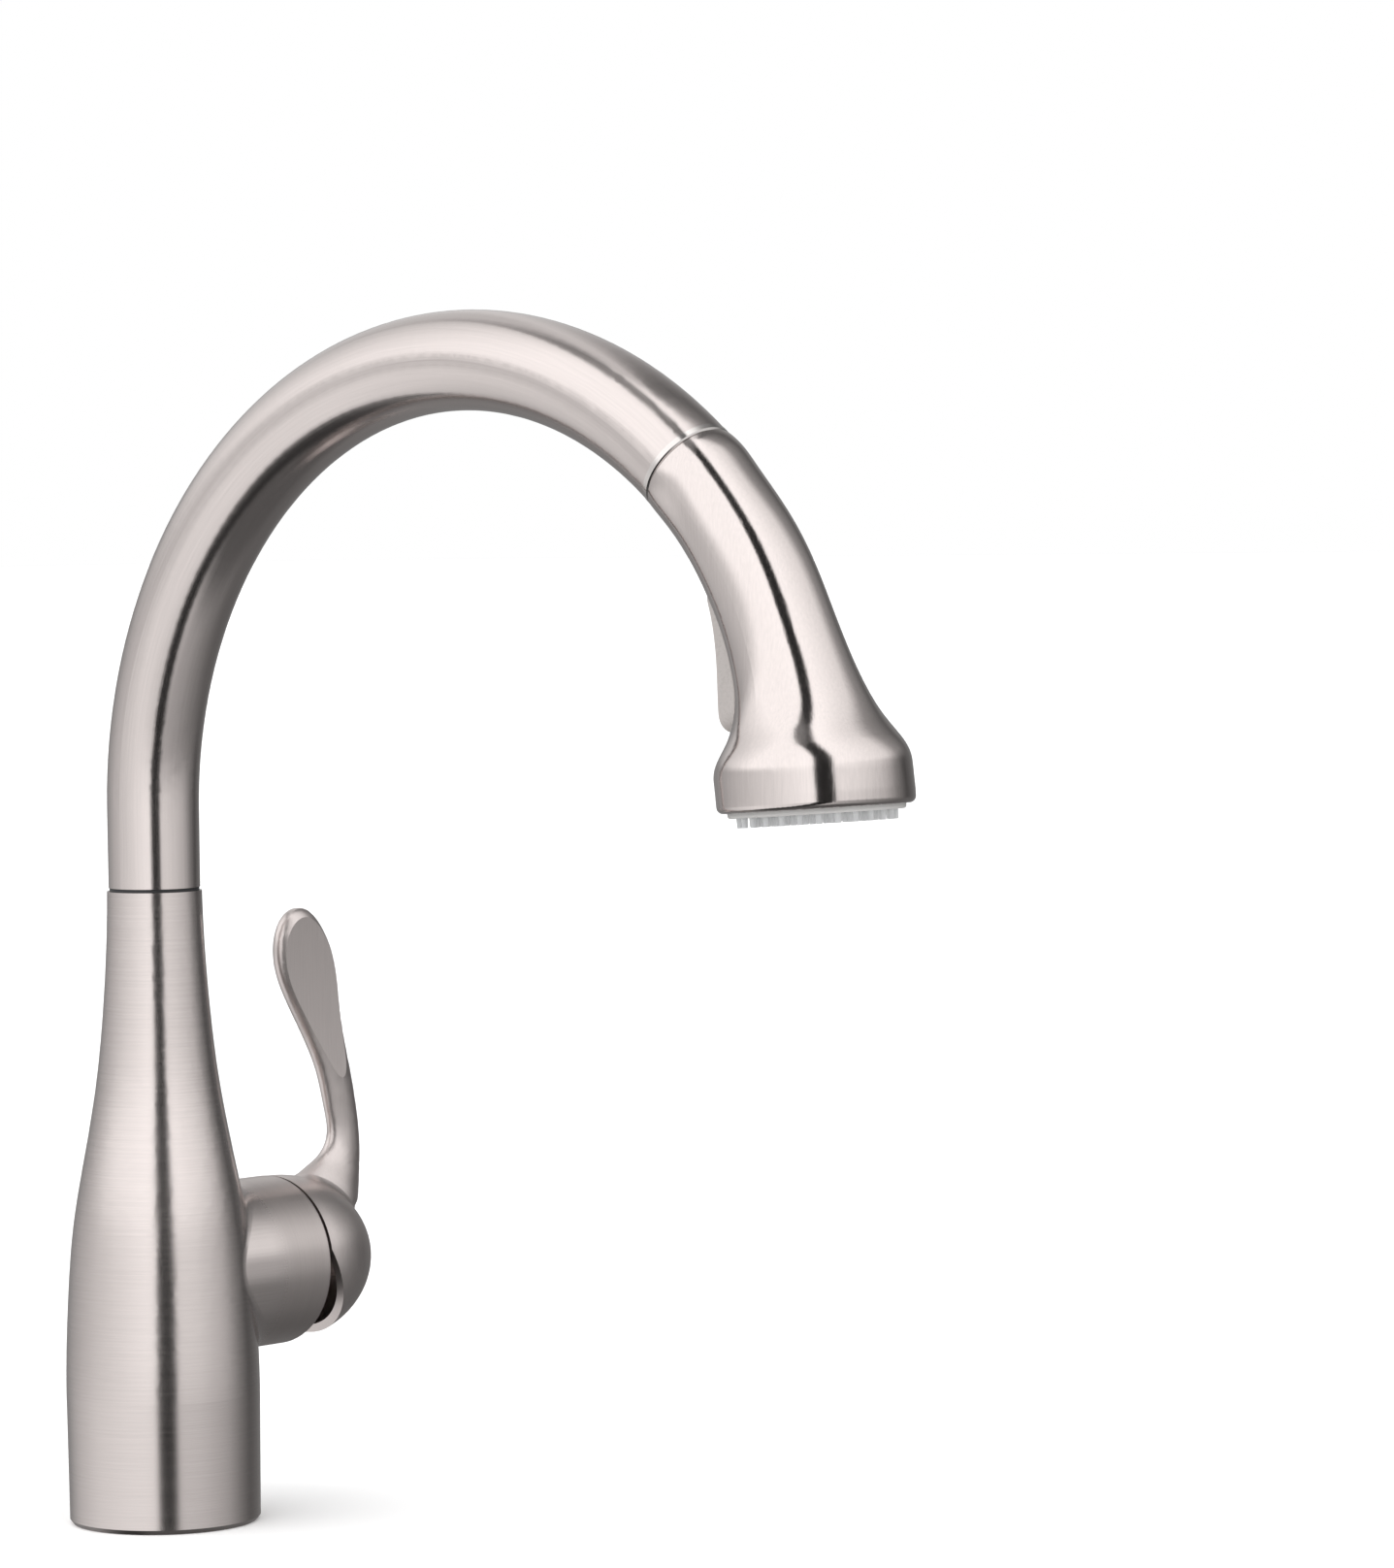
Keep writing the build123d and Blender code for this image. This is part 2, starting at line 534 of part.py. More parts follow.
with BuildPart() as hose_upper:
    with BuildLine() as upper_path:
        Line((0, 0, HOSE_SPLIT), (0, 0, SPOUT_RISE))
        with BuildLine(Plane.YZ):
            CenterArc((-SPOUT_BEND, SPOUT_RISE), SPOUT_BEND, 0, SPOUT_TURN - LEAD_BACK)
    with BuildSketch(Plane.XY.offset(HOSE_SPLIT)):
        Circle(HOSE_R)
    sweep(path=upper_path.line)
hose_upper.part.label = "hose_upper"
export_step(hose_upper.part, "parts/hose_upper.step")

with BuildPart() as hose_fitting:
    with BuildSketch(Plane.XZ):
        with BuildLine():
            Polyline(
                (-7, -76), (-0.4, -76), (-0.4, -84), (1.2, -84), (1.2, -95), (-2.6, -95),
                (-2.6, -99), (-7, -99), (-7, -76),
            )
        make_face()
    revolve(axis=Axis((-7, 0, 0), (0, 0, 1)))
hose_fitting.part.label = "hose_fitting"
export_step(hose_fitting.part, "parts/hose_fitting.step")

# ---- spray head ----
HEAD_SECTIONS = (  # place along the centre line, outer radius, shift away from the column
    (0, 14.35, 0), (10, 14.5, 0), (25, 14.7, 0), (40, 14.95, 0), (54, 15.3, 0), (61, 15.85, 0.3),
    (68, 16.85, 0.7), (75, 18.75, 1.0), (80, 20.95, 1.2), (84, 23.5, 1.3), (87, 25.3, 1.45),
    (90, 26.3, 1.6), (93, 26.45, 1.65), (96, 26.45, 1.7), (99, 26.45, 1.75),
    (HEAD_LENGTH, 26.45, BELL_OUT),
)
with BuildPart() as head_shell:
    for s, r, shift in HEAD_SECTIONS:
        with BuildSketch(head_plane(s, -shift)):
            Circle(r)
    loft()
    fillet(head_shell.edges().sort_by(Axis.Z)[0], 1.8)
    for s, r, shift in HEAD_SECTIONS:
        with BuildSketch(head_plane(s + (0.4 if s == HEAD_LENGTH else 0), -shift)):
            Circle(r - SHELL)
    loft(mode=Mode.SUBTRACT)
    # window for the rocker button
    with BuildSketch(Plane(origin=head_plane(BUTTON_S, 8).origin, x_dir=(-1, 0, 0),
                           z_dir=head_plane(BUTTON_S).y_dir)):
        RectangleRounded(13.2, 42.2, 6.5)
    extrude(amount=22, mode=Mode.SUBTRACT)
head_shell.part.label = "head_shell"
export_step(head_shell.part, "parts/head_shell.step")

with BuildPart(head_plane(-12)) as head_tail:
    Cylinder(9.3, 12.2, align=BASE)
    with Locations((0, 0, 12.2)):
        Cylinder(11.3, 8, align=BASE)
    Cylinder(5.0, 24, align=BASE, mode=Mode.SUBTRACT)
head_tail.part.label = "head_tail"
export_step(head_tail.part, "parts/head_tail.step")

with BuildPart(head_plane(-20.2)) as hose_nut:
    Cylinder(7.8, 8, align=BASE)
    with BuildSketch(head_plane(-16)):
        Circle(9)
        RegularPolygon(7.8, 6, mode=Mode.SUBTRACT)
    extrude(amount=3.8, mode=Mode.SUBTRACT)
    with Locations((0, 0, 8)):
        Cylinder(4.9, 3, align=BASE)
    Cylinder(3.6, 11, align=BASE, mode=Mode.SUBTRACT)
hose_nut.part.label = "hose_nut"
export_step(hose_nut.part, "parts/hose_nut.step")

with BuildPart(head_plane(-8.8)) as check_valve:
    Cylinder(4.9, 11, align=BASE)
    Cylinder(3.4, 11, align=BASE, mode=Mode.SUBTRACT)
    with Locations((0, 0, 4)):
        Cylinder(3.4, 1.2, align=BASE)
        with PolarLocations(2.2, 4):
            Cylinder(0.8, 1.2, align=BASE, mode=Mode.SUBTRACT)
check_valve.part.label = "check_valve"
export_step(check_valve.part, "parts/check_valve.step")

with BuildPart(head_plane(2.6)) as inlet_screen:
    Cylinder(4.9, 0.8, align=BASE)
    with HexLocations(0.95, 4, 4):
        Cylinder(0.55, 0.8, align=BASE, mode=Mode.SUBTRACT)
inlet_screen.part.label = "inlet_screen"
export_step(inlet_screen.part, "parts/inlet_screen.step")

WATER_OFF = -4.5  # the waterway runs on the outer side, clear of the button's gear
with BuildPart() as waterway_tube:
    with BuildLine() as water_path:
        ThreePointArc(*[head_plane(s, WATER_OFF).origin for s in (8.4, 32, 56.8)])
    with BuildSketch(head_plane(8.4, WATER_OFF)):
        Circle(4.8)
    sweep(path=water_path.line)
    with BuildSketch(head_plane(8.4, WATER_OFF)):
        Circle(3.5)
    sweep(path=water_path.line, mode=Mode.SUBTRACT)
waterway_tube.part.label = "waterway_tube"
export_step(waterway_tube.part, "parts/waterway_tube.step")

# diverter: a small spool that the rocker's foot slides between jet and spray
SPOOL_OFF = 3.2
spool_plane = head_plane(PIVOT_S, SPOOL_OFF)
with BuildPart() as diverter_housing:
    with Locations(head_plane(57)):
        Cylinder(11.2, 20, align=BASE)
    with Locations(FACE.offset(-22.6)):
        Cylinder(15.5, 4.4, align=BASE)
    with Locations(head_plane(57, WATER_OFF)):
        Cylinder(3.5, 28, align=BASE, mode=Mode.SUBTRACT)
    with Locations(spool_plane):
        with Locations((6.2, PIVOT_OFF - SPOOL_OFF, -2), (-6.2, PIVOT_OFF - SPOOL_OFF, -2)):
            Box(1.8, 3.4, 12, align=BASE)
        Cylinder(2.6, 24, align=BASE, mode=Mode.SUBTRACT)
    with Locations(Plane(origin=head_plane(PIVOT_S, PIVOT_OFF).origin - (8, 0, 0), z_dir=(1, 0, 0))):
        Cylinder(1.0, 16, align=BASE, mode=Mode.SUBTRACT)
diverter_housing.part.label = "diverter_housing"
export_step(diverter_housing.part, "parts/diverter_housing.step")

axle_start = head_plane(PIVOT_S, PIVOT_OFF).origin - (7.1, 0, 0)
with BuildPart(Plane(origin=axle_start, z_dir=(1, 0, 0))) as button_axle:
    Cylinder(1.0, 14.2, align=BASE)
button_axle.part.label = "button_axle"
export_step(button_axle.part, "parts/button_axle.step")

with BuildPart(spool_plane) as diverter_spool:
    with Locations((0, 0, -2.2)):
        Cylinder(1.0, 12, align=BASE)
        Cylinder(2.1, 1.0, align=BASE)
    with Locations((0, 0, 1.2)):
        Cylinder(2.1, 1.0, align=BASE)
    with Locations((0, 0, 8.5)):
        Cylinder(2.54, 12, align=BASE)
    for place in (10.5, 17.0):
        with Locations((0, 0, place)):
            Cylinder(2.7, 0.8, align=BASE, mode=Mode.SUBTRACT)
            Cylinder(1.95, 0.8, align=BASE)
diverter_spool.part.label = "diverter_spool"
export_step(diverter_spool.part, "parts/diverter_spool.step")

with BuildPart(spool_plane) as spool_seals:
    with Locations((0, 0, 10.9), (0, 0, 17.4)):
        Torus(2.27, 0.3)
spool_seals.part.label = "spool_seals"
export_step(spool_seals.part, "parts/spool_seals.step")

# rocker button: its outline runs along the head, its depth towards the column
button_side = head_plane(BUTTON_S)
with BuildPart() as spray_button:
    with BuildSketch(Plane(origin=button_side.origin, x_dir=button_side.z_dir, z_dir=(1, 0, 0))):
        with BuildLine():
            Spline(
                (-20.2, 15.9), (-12, 16.3), (-2, 18.3), (8, 21.6), (15, 23.9), (20.2, 22.8),
                tangents=[(1, 0), (0.3, -1)],
            )
            Polyline((20.2, 22.8), (20.2, 16.2), (8, 12.4), (-20.2, 13.4), (-20.2, 15.9))
        make_face()
    extrude(amount=6.1, both=True)
    with BuildSketch(Plane(origin=head_plane(BUTTON_S, 8).origin, x_dir=(-1, 0, 0),
                           z_dir=button_side.y_dir)):
        RectangleRounded(12.2, 40.4, 6)
    extrude(amount=22, mode=Mode.INTERSECT)
    fillet(spray_button.faces().sort_by(SortBy.AREA)[-1].edges(), 1.2)
    with Locations(spool_plane):
        with Locations((0, 1.4, 0)):
            Box(4.2, 9.4, 1.7, align=(Align.CENTER, Align.MIN, Align.CENTER))
    with Locations(Plane(origin=head_plane(PIVOT_S, PIVOT_OFF).origin - (4.9, 0, 0), z_dir=(1, 0, 0))):
        Cylinder(2.3, 9.8, align=BASE)
        Cylinder(1.05, 9.8, align=BASE, mode=Mode.SUBTRACT)
    with Locations(spool_plane):
        with Locations((0, 0, -2)):
            Cylinder(1.25, 4, align=BASE, mode=Mode.SUBTRACT)
spray_button.part.label = "spray_button"
export_step(spray_button.part, "parts/spray_button.step")

# ---- spray face ----
with BuildPart(FACE.offset(-18)) as spray_chamber:
    Cylinder(18.8, 12.5, align=BASE)
    with Locations((0, 0, 2)):
        Cylinder(17.2, 11, align=BASE, mode=Mode.SUBTRACT)
    Cylinder(7.5, 2, align=BASE, mode=Mode.SUBTRACT)
spray_chamber.part.label = "spray_chamber"
export_step(spray_chamber.part, "parts/spray_chamber.step")

FACE_RINGS = ((12.4, 14), (16.4, 20), (20.6, 26))  # ring radius, nozzles on it
with BuildPart(FACE.offset(-5.2)) as nozzle_mat:
    Cylinder(23.1, 2, align=BASE)
    for ring_r, count in FACE_RINGS:
        with PolarLocations(ring_r, count):
            Cone(1.25, 0.8, 9.2, align=BASE)
    Cylinder(8.7, 2, align=BASE, mode=Mode.SUBTRACT)
nozzle_mat.part.label = "nozzle_mat"
export_step(nozzle_mat.part, "parts/nozzle_mat.step")

with BuildPart(FACE.offset(-3)) as spray_plate:
    Cylinder(23.7, 4.4, align=BASE)
    fillet(spray_plate.edges().group_by(Axis.Z)[0], 0.8)
    for ring_r, count in FACE_RINGS:
        with PolarLocations(ring_r, count):
            Cylinder(1.3, 4.4, align=BASE, mode=Mode.SUBTRACT)
    Cylinder(8.7, 4.4, align=BASE, mode=Mode.SUBTRACT)
spray_plate.part.label = "spray_plate"
export_step(spray_plate.part, "parts/spray_plate.step")

with BuildPart(FACE.offset(-6.6)) as aerator_insert:
    Cylinder(8.4, 8.4, align=BASE)
    Cylinder(6.9, 8.4, align=BASE, mode=Mode.SUBTRACT)
aerator_insert.part.label = "aerator_insert"
export_step(aerator_insert.part, "parts/aerator_insert.step")

with BuildPart(FACE.offset(0.2)) as aerator_screen:
    Cylinder(6.85, 0.9, align=BASE)
    with HexLocations(0.85, 7, 7):
        Cylinder(0.6, 0.9, align=BASE, mode=Mode.SUBTRACT)
aerator_screen.part.label = "aerator_screen"
export_step(aerator_screen.part, "parts/aerator_screen.step")

# ---- hose lead: the stretch that comes out of the spout with the head ----
with BuildPart() as hose_lead:
    with BuildLine(Plane.YZ) as lead_path:
        CenterArc(
            (-SPOUT_BEND, SPOUT_RISE), SPOUT_BEND, SPOUT_TURN - LEAD_BACK, LEAD_LENGTH,
        )
    with BuildSketch(Plane(
        origin=lead_path.line @ 0, x_dir=(-1, 0, 0), z_dir=lead_path.line % 0,
    )):
        Circle(HOSE_R)
    sweep(path=lead_path.line)
hose_lead.part.label = "hose_lead"
export_step(hose_lead.part, "parts/hose_lead.step")
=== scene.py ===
"""Looks of the pull down kitchen faucet: brushed nickel over brass, plastic and rubber works."""
import math

import bpy
from mathutils import Matrix, Vector


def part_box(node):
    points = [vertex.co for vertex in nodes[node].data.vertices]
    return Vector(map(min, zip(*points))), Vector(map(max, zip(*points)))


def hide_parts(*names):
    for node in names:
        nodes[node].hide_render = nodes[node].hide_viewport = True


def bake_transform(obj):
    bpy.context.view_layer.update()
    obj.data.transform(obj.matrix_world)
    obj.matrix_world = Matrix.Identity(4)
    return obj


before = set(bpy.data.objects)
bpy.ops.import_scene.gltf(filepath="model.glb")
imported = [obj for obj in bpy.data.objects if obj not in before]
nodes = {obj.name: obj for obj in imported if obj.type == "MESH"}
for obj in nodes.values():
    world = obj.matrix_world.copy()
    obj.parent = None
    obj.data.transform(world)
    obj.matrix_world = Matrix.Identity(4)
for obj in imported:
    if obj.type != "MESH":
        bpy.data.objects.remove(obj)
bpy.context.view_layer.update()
scene = bpy.context.scene

# ---- camera: a long lens, a little above the spray head and almost level
EYE = (-1.20749, -1.28046, 0.29198)
RIGHT = (0.66210, -0.74929, -0.01377)
UP = (0.04245, 0.01915, 0.99891)
BACK = (-0.74821, -0.66196, 0.04449)
cam_data = bpy.data.cameras.new("camera")
cam_data.lens = 138.02
cam_data.sensor_width = 36.0
cam_data.sensor_fit = "AUTO"
cam_data.clip_end = 100.0
cam = bpy.data.objects.new("camera", cam_data)
scene.collection.objects.link(cam)
cam.matrix_world = Matrix.Translation(EYE) @ Matrix((RIGHT, UP, BACK)).transposed().to_4x4()
scene.camera = cam

scene.view_settings.view_transform = "Standard"


# ---- small helpers for node trees
class Tree:
    """A material's node tree, written as expressions."""

    def __init__(self, tree):
        self.tree = tree

    def new(self, kind, **values):
        node = self.tree.nodes.new(kind)
        for key, value in values.items():
            setattr(node, key, value)
        return node

    def link(self, a, b):
        self.tree.links.new(a, b)

    def put(self, socket, value):
        if isinstance(value, bpy.types.NodeSocket):
            self.link(value, socket)
        else:
            socket.default_value = value

    def math(self, operation, a, b=None, c=None):
        node = self.new("ShaderNodeMath", operation=operation)
        for i, value in enumerate((a, b, c)):
            if value is not None:
                self.put(node.inputs[i], value)
        return node.outputs[0]

    def ramp(self, factor, stops, mode="LINEAR"):
        node = self.new("ShaderNodeValToRGB")
        node.color_ramp.interpolation = mode
        elements = node.color_ramp.elements
        while len(elements) < len(stops):
            elements.new(0.5)
        for element, (at, value) in zip(elements, stops):
            element.position = at
            element.color = (*value, 1) if isinstance(value, tuple) else (value,) * 3 + (1,)
        self.link(factor, node.inputs[0])
        return node.outputs[0]

    def mix(self, factor, a, b):
        node = self.new("ShaderNodeMix", data_type="RGBA")
        self.put(node.inputs[0], factor)
        self.put(node.inputs[6], a)
        self.put(node.inputs[7], b)
        return node.outputs[2]

    def noise(self, vector, scale, detail=2.0, rough=0.5):
        node = self.new("ShaderNodeTexNoise")
        self.link(vector, node.inputs["Vector"])
        node.inputs["Scale"].default_value = scale
        node.inputs["Detail"].default_value = detail
        node.inputs["Roughness"].default_value = rough
        return node.outputs["Fac"]

    def position(self):
        return self.new("ShaderNodeTexCoord").outputs["Object"]

    def stretched(self, vector, scale, rotation=(0, 0, 0)):
        node = self.new("ShaderNodeMapping")
        self.link(vector, node.inputs["Vector"])
        node.inputs["Scale"].default_value = scale
        node.inputs["Rotation"].default_value = rotation
        return node.outputs[0]

    def bump(self, height, strength, distance):
        node = self.new("ShaderNodeBump")
        node.inputs["Strength"].default_value = strength
        node.inputs["Distance"].default_value = distance
        self.link(height, node.inputs["Height"])
        return node.outputs[0]


def material(name):
    """A new material, its node tree, and the inputs of its shader."""
    m = bpy.data.materials.new(name)
    m.use_nodes = True
    m.node_tree.nodes.clear()
    t = Tree(m.node_tree)
    shader = t.new("ShaderNodeBsdfPrincipled")
    t.link(shader.outputs[0], t.new("ShaderNodeOutputMaterial").inputs[0])
    return m, t, shader.inputs


NICKEL = (0.74, 0.675, 0.655)
DULL = (0.66, 0.60, 0.58)  # the hub's coarser finish
HUB_FROM, HUB_FULL = 0.021, 0.032  # x over which the column's finish turns into the hub's
BEND = 0.12745  # the neck's bend radius
RISE = 0.2086  # height of the neck's bend centre
DOCK_TURN = 130.3  # degrees that the neck turns, up to the dock


def along_the_neck(t):
    """Coordinates that run with the swan neck: across it, out from its bend, and along it."""
    xyz = t.new("ShaderNodeSeparateXYZ")
    t.link(t.position(), xyz.inputs[0])
    y = t.math("ADD", xyz.outputs[1], BEND)
    z = t.math("SUBTRACT", xyz.outputs[2], RISE)
    over, under = t.math("MAXIMUM", z, 0.0), t.math("MINIMUM", z, 0.0)
    squares = t.math("ADD", t.math("MULTIPLY", y, y), t.math("MULTIPLY", over, over))
    radius = t.math("SQRT", squares)
    run = t.math("MULTIPLY_ADD", t.math("ARCTAN2", over, y), BEND, under)
    both = t.new("ShaderNodeCombineXYZ")
    for socket, value in zip(both.inputs, (xyz.outputs[0], radius, run)):
        t.link(value, socket)
    return both.outputs[0]


def scratched(t, lines, color):
    """A metal's colour, a little darker and lighter along its scratches."""
    return t.ramp(lines, [(at, tuple(c * k for c in color)) for at, k in ((0.3, 0.955), (0.7, 1.03))])


def brushed(name, grain, rotation=(0, 0, 0), neck=False, hub=False, color=NICKEL, rough=0.2):
    """Brushed metal. grain is how fine the scratches are along each axis, per metre."""
    m, t, s = material(name)
    where = along_the_neck(t) if neck else t.position()
    lines = t.noise(t.stretched(where, grain, rotation), 1.0, 4.0, 0.65)
    cloud = t.noise(where, 22.0, 3.0)
    speck = t.noise(where, 2600.0, 1.0)
    tint = scratched(t, lines, color)
    base = t.math("MULTIPLY_ADD", lines, 0.10, rough - 0.05)
    if hub:
        x = t.new("ShaderNodeSeparateXYZ")
        t.link(where, x.inputs[0])
        share = t.new("ShaderNodeMapRange", interpolation_type="SMOOTHSTEP")
        t.link(x.outputs[0], share.inputs["Value"])
        share.inputs["From Min"].default_value = HUB_FROM
        share.inputs["From Max"].default_value = HUB_FULL
        rings = t.noise(t.stretched(where, (2600, 35, 35)), 1.0, 4.0, 0.65)
        lines = t.math("MULTIPLY_ADD", share.outputs[0], t.math("SUBTRACT", rings, lines), lines)
        tint = t.mix(share.outputs[0], tint, scratched(t, rings, DULL))
        base = t.math("MULTIPLY_ADD", share.outputs[0], 0.14, base)
    s["Metallic"].default_value = 1.0
    t.link(tint, s["Base Color"])
    t.link(t.math("MULTIPLY_ADD", cloud, 0.06, t.math("SUBTRACT", base, 0.03)), s["Roughness"])
    height = t.math("MULTIPLY_ADD", speck, 0.25, lines)
    t.link(t.bump(height, 0.05, 0.0002), s["Normal"])
    return m


def waves(t, vector, direction, pitch, profile):
    """Parallel ridges across a direction, pitch apart."""
    wave = t.new("ShaderNodeTexWave", bands_direction=direction, wave_profile=profile)
    t.link(vector, wave.inputs["Vector"])
    wave.inputs["Scale"].default_value = 2 * math.pi / pitch / 20.0  # the node has 20 radians a unit
    return wave.outputs["Fac"]


def machined(name, color, rough, rings=None, pitch=0.0015):
    """Turned metal, with thread or tool rings along one axis ('X' or 'Z')."""
    m, t, s = material(name)
    where = t.position()
    s["Metallic"].default_value = 1.0
    stain = t.noise(where, 120.0, 4.0)
    fine = t.noise(t.stretched(where, (60, 60, 2400)), 1.0, 3.0)
    dull = tuple(c * 0.72 for c in color)
    t.link(t.ramp(stain, ((0.3, dull), (0.62, color))), s["Base Color"])
    t.link(t.math("MULTIPLY_ADD", fine, 0.16, rough - 0.08), s["Roughness"])
    if rings:
        height = t.math("MULTIPLY_ADD", fine, 0.05, waves(t, where, rings, pitch, "TRI"))
        t.link(t.bump(height, 1.0, 0.0005), s["Normal"])
    else:
        t.link(t.bump(fine, 0.25, 0.0001), s["Normal"])
    return m


def moulded(name, color, rough, grain=900.0, depth=0.12, sheen=0.5):
    """Moulded plastic or rubber with a fine spark-eroded skin."""
    m, t, s = material(name)
    where = t.position()
    skin = t.noise(where, grain, 3.0, 0.6)
    drift = t.noise(where, 45.0, 2.0)
    low, high = (tuple(min(1.0, c * k) for c in color) for k in (0.9, 1.06))
    t.link(t.ramp(drift, ((0.3, low), (0.7, high))), s["Base Color"])
    t.link(t.math("MULTIPLY_ADD", skin, 0.2, rough - 0.1), s["Roughness"])
    s["Specular IOR Level"].default_value = sheen
    t.link(t.bump(skin, depth, 0.0002), s["Normal"])
    return m


def braided(name):
    """Nylon braid of the pull-out hose: two crossing sets of strands."""
    m, t, s = material(name)
    where = t.position()
    weave = t.math("MAXIMUM", *(
        waves(t, t.stretched(where, (1, 1, 1), (lean, lean, 0)), "Z", 0.0016, "SIN")
        for lean in (0.85, -0.85)
    ))
    t.link(t.ramp(weave, ((0.2, (0.05, 0.05, 0.052)), (0.95, (0.30, 0.30, 0.31)))), s["Base Color"])
    t.link(t.math("MULTIPLY_ADD", weave, -0.2, 0.6), s["Roughness"])
    t.link(t.bump(weave, 0.8, 0.0003), s["Normal"])
    return m


HEAD_LEAN = math.radians(-30.0)
looks = {
    "column": brushed("nickel_column", (35, 35, 2600), hub=True),
    "neck": brushed("nickel_neck", (2400, 2400, 30), neck=True, rough=0.18),
    "head": brushed("nickel_head", (1900, 1900, 40), rotation=(HEAD_LEAN, 0, 0), rough=0.12),
    "lever": brushed("nickel_lever", (1900, 1900, 45), rough=0.33),
    "ring": brushed("nickel_ring", (500, 500, 500), color=(0.80, 0.76, 0.74), rough=0.16),
    "brass": machined("cast_brass", (0.72, 0.52, 0.25), 0.30),
    "thread_z": machined("brass_thread", (0.70, 0.50, 0.24), 0.28, rings="Z", pitch=0.0015),
    "thread_x": machined("brass_thread_across", (0.70, 0.50, 0.24), 0.28, rings="X", pitch=0.001),
    "steel": machined("zinc_steel", (0.62, 0.62, 0.63), 0.32),
    "wire": machined("stainless_mesh", (0.66, 0.66, 0.67), 0.25, rings="X", pitch=0.0006),
    "bolt": machined("steel_thread", (0.58, 0.58, 0.60), 0.30, rings="Z", pitch=0.0008),
    "black": moulded("black_plastic", (0.022, 0.022, 0.024), 0.42),
    "white": moulded("white_acetal", (0.78, 0.78, 0.75), 0.38),
    "shadow": machined("dark_ring", (0.16, 0.15, 0.145), 0.45),
    "grey": moulded("grey_plastic", (0.46, 0.45, 0.44), 0.32, depth=0.08),
    "button": moulded("button_plastic", (0.42, 0.39, 0.375), 0.28, depth=0.05),
    "silicone": moulded("clear_grey_silicone", (0.55, 0.555, 0.56), 0.36, grain=500.0),
    "rubber": moulded("black_rubber", (0.018, 0.018, 0.018), 0.62, grain=600.0, depth=0.3,
                      sheen=0.3),
    "ceramic": moulded("lapped_ceramic", (0.82, 0.80, 0.76), 0.12, grain=1500.0, depth=0.02),
    "braid": braided("hose_braid"),
}
wears = {
    "column_body": "column", "gooseneck_tube": "neck", "head_shell": "head", "handle": "lever",
    "spout_ring": "ring", "spray_button": "button",
    "mounting_shank": "thread_z", "mounting_nut": "brass", "tension_screws": "bolt",
    "outlet_pipe": "brass", "hot_supply_tail": "brass", "cold_supply_tail": "brass",
    "cartridge_nut": "thread_x", "swivel_sleeve": "brass", "hose_fitting": "brass",
    "hose_nut": "brass", "spindle": "brass",
    "steel_washer": "steel", "swivel_clip": "steel", "button_axle": "steel", "tilt_axle": "steel",
    "grub_screw": "bolt", "inlet_screen": "wire", "aerator_screen": "wire",
    "hose_guide": "black", "hub_trim": "shadow", "slip_ring": "black", "dock_bush": "black",
    "head_tail": "black",
    "cartridge_base": "white", "cartridge_housing": "white", "lower_bush": "white",
    "upper_bush": "white", "rotor": "white", "disc_carrier": "white", "check_valve": "white",
    "waterway_tube": "white", "diverter_housing": "white", "diverter_spool": "white",
    "spray_chamber": "white",
    "spray_plate": "grey", "aerator_insert": "grey",
    "nozzle_mat": "silicone",
    "base_seal": "rubber", "rubber_washer": "rubber", "port_seals": "rubber",
    "swivel_seals": "rubber", "spool_seals": "rubber",
    "fixed_disc": "ceramic", "moving_disc": "ceramic",
    "hose_lower": "braid", "hose_upper": "braid", "hose_lead": "braid",
}
for name, look in wears.items():
    slots = nodes[name].data.materials
    slots.clear()
    slots.append(looks[look])

# ---- the hose's lead, which runs out of the spout with the head
HOSE_R = 0.006
LEAD_START = math.radians(DOCK_TURN - 15.0)  # where the lead starts round the neck's bend
LEAD_SWEEP = math.radians(6.4)  # how far it runs
RINGS, SIDES = 160, 28


def hose_lead():
    """The hose from its place in the neck to the head's nut, as a tube of many rings."""
    verts, faces = [], []
    for i in range(RINGS + 1):
        a = LEAD_START + LEAD_SWEEP * i / RINGS
        centre = Vector((0, BEND * (math.cos(a) - 1), RISE + BEND * math.sin(a)))
        out = Vector((0, math.cos(a), math.sin(a)))
        for k in range(SIDES):
            b = 2 * math.pi * k / SIDES
            verts.append(centre + HOSE_R * (math.cos(b) * out + math.sin(b) * Vector((1, 0, 0))))
    for i in range(RINGS):
        for k in range(SIDES):
            a, b = i * SIDES + k, i * SIDES + (k + 1) % SIDES
            faces.append((a, b, b + SIDES, a + SIDES))
    for first in (0, RINGS * SIDES):
        ring = list(range(first, first + SIDES))
        faces.append(ring if first else ring[::-1])
    mesh = bpy.data.meshes.new("hose_lead_braid")
    mesh.from_pydata([tuple(v) for v in verts], [], faces)
    for polygon in mesh.polygons:
        polygon.use_smooth = len(polygon.vertices) == 4
    piece = bpy.data.objects.new("hose_lead_braid", mesh)
    scene.collection.objects.link(piece)
    return piece


lead = hose_lead()
lead.data.materials.append(looks["braid"])
low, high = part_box("hose_lead")
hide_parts("hose_lead")
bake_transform(lead)

# ---- floor
bpy.ops.mesh.primitive_plane_add(size=60)
floor = bpy.context.object
floor.name = "floor"
m, t, s = material("pale_floor")
grit = t.noise(t.position(), 8.0, 4.0)
t.link(t.ramp(grit, ((0.2, (0.93, 0.93, 0.93)), (0.8, (0.97, 0.97, 0.97)))), s["Base Color"])
s["Roughness"].default_value = 0.9
s["Specular IOR Level"].default_value = 0.1
floor.data.materials.append(m)
floor.visible_glossy = False

# ---- studio light: soft boxes all round, with dark gaps that the metal shows as narrow stripes
world = bpy.data.worlds.new("studio")
scene.world = world
world.use_nodes = True
world.node_tree.nodes.clear()
t = Tree(world.node_tree)
direction = t.new("ShaderNodeTexCoord").outputs["Generated"]


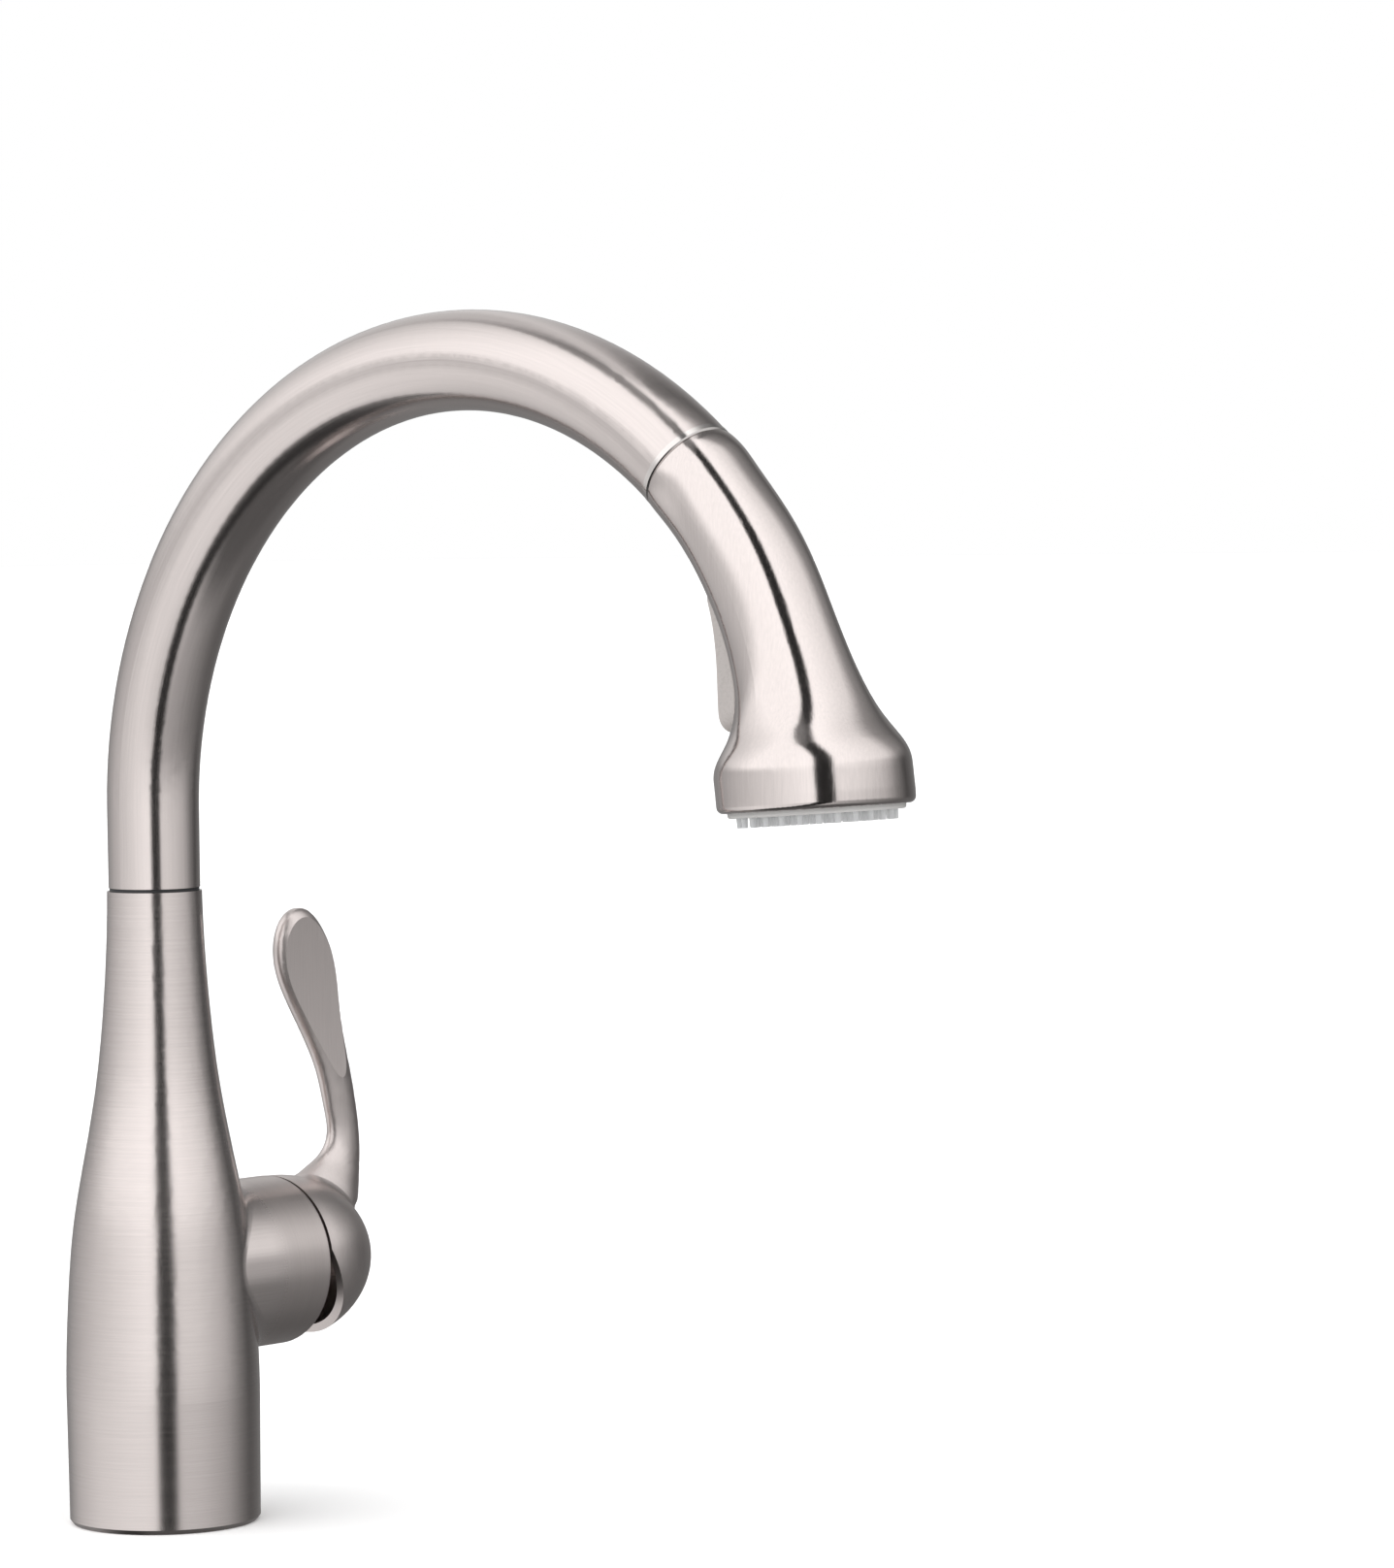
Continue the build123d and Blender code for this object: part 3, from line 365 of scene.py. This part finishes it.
def along(axis):
    node = t.new("ShaderNodeVectorMath", operation="DOT_PRODUCT")
    t.link(direction, node.inputs[0])
    node.inputs[1].default_value = axis
    return node.outputs["Value"]


FRONT = Vector((-0.69, -0.724, 0.0)).normalized()  # from the object to the camera, level
SIDE = Vector((0, 0, 1)).cross(FRONT)  # level, to the camera's right
around = t.math("MULTIPLY_ADD", t.math("ARCTAN2", along(SIDE), along(FRONT)), 1 / (2 * math.pi), 0.5)


def band(stops):
    """Light by compass direction, from the camera's: negative degrees are on its left."""
    return t.ramp(around, [(0.5 + degrees / 360.0, value) for degrees, value in stops])


high = band(((-180, 0.75), (-150, 0.68), (-120, 0.95), (-85, 1.30), (-40, 1.30), (0, 1.40), (30, 1.30),
             (60, 1.15), (92, 0.95), (115, 0.35), (145, 0.12), (160, 0.30), (180, 0.75)))
level = band(((-180, 0.28), (-150, 0.34), (-120, 0.53), (-85, 0.74), (-50, 0.95), (-22, 1.14),
              (0, 1.28), (22, 0.92), (45, 0.84), (80, 0.58), (104, 0.24), (124, 0.08), (146, 0.16),
              (180, 0.28)))
below = band(((-180, 0.22), (-150, 0.30), (-125, 0.70), (-85, 0.96), (-45, 0.92), (0, 0.70), (25, 0.45),
              (50, 0.38), (85, 0.24), (120, 0.14), (150, 0.14), (180, 0.22)))
rise = along((0, 0, 1))
height = t.math("MULTIPLY_ADD", rise, 0.5, 0.5)
light = t.mix(t.ramp(height, ((0.53, 0.0), (0.66, 1.0)), "EASE"), level, high)
light = t.mix(t.ramp(height, ((0.34, 1.0), (0.47, 0.0)), "EASE"), light, below)
light = t.mix(t.ramp(height, ((0.04, 1.0), (0.14, 0.0)), "EASE"), light, (0.11, 0.11, 0.11, 1))
# the dark edge of the large soft box on the left, a rounded rectangle
BOX_BEARING, BOX_RISE = -80.0, 5.0  # where the box's middle hangs, in degrees
BOX_WIDE, BOX_HIGH = 84.0, 68.0  # half its angular size
across = t.math("MULTIPLY_ADD", around, 360 / BOX_WIDE, -(180 + BOX_BEARING) / BOX_WIDE)
across = t.math("ABSOLUTE", across)
over = t.math("MULTIPLY_ADD", t.math("ARCSINE", rise), 180 / math.pi / BOX_HIGH, -BOX_RISE / BOX_HIGH)
upper = t.math("POWER", t.math("MAXIMUM", over, 0.0), 3.5)
lower = t.math("POWER", t.math("MAXIMUM", t.math("MULTIPLY", over, -1.0), 0.0), 2.2)
off_box = t.math("ADD", t.math("POWER", across, 2.8), t.math("ADD", upper, lower))
edge = t.ramp(t.math("MULTIPLY", off_box, 0.5), ((0.345, 0.0), (0.365, 1.0), (0.70, 1.0), (0.80, 0.0)))
edge_by_bearing = band(((-180, 0.1), (-158, 0.1), (-130, 0.75), (-40, 0.85), (-20, 1.0), (40, 1.0),
                        (60, 0.0)))
light = t.mix(t.math("MULTIPLY", edge, edge_by_bearing), light, (0.022, 0.022, 0.022, 1))
# the backdrop behind the object is plain white
path = t.new("ShaderNodeLightPath")
light = t.mix(path.outputs["Is Camera Ray"], light, (1.0, 1.0, 1.0, 1))
background = t.new("ShaderNodeBackground")
t.link(light, background.inputs[0])
background.inputs[1].default_value = 1.0
t.link(background.outputs[0], t.new("ShaderNodeOutputWorld").inputs[0])

sun_data = bpy.data.lights.new("ceiling", "SUN")
sun_data.angle = math.radians(100)
sun_data.energy = 1.9
sun = bpy.data.objects.new("ceiling", sun_data)
sun.rotation_euler = (math.radians(-8), math.radians(-6), 0)
sun.visible_glossy = False
scene.collection.objects.link(sun)
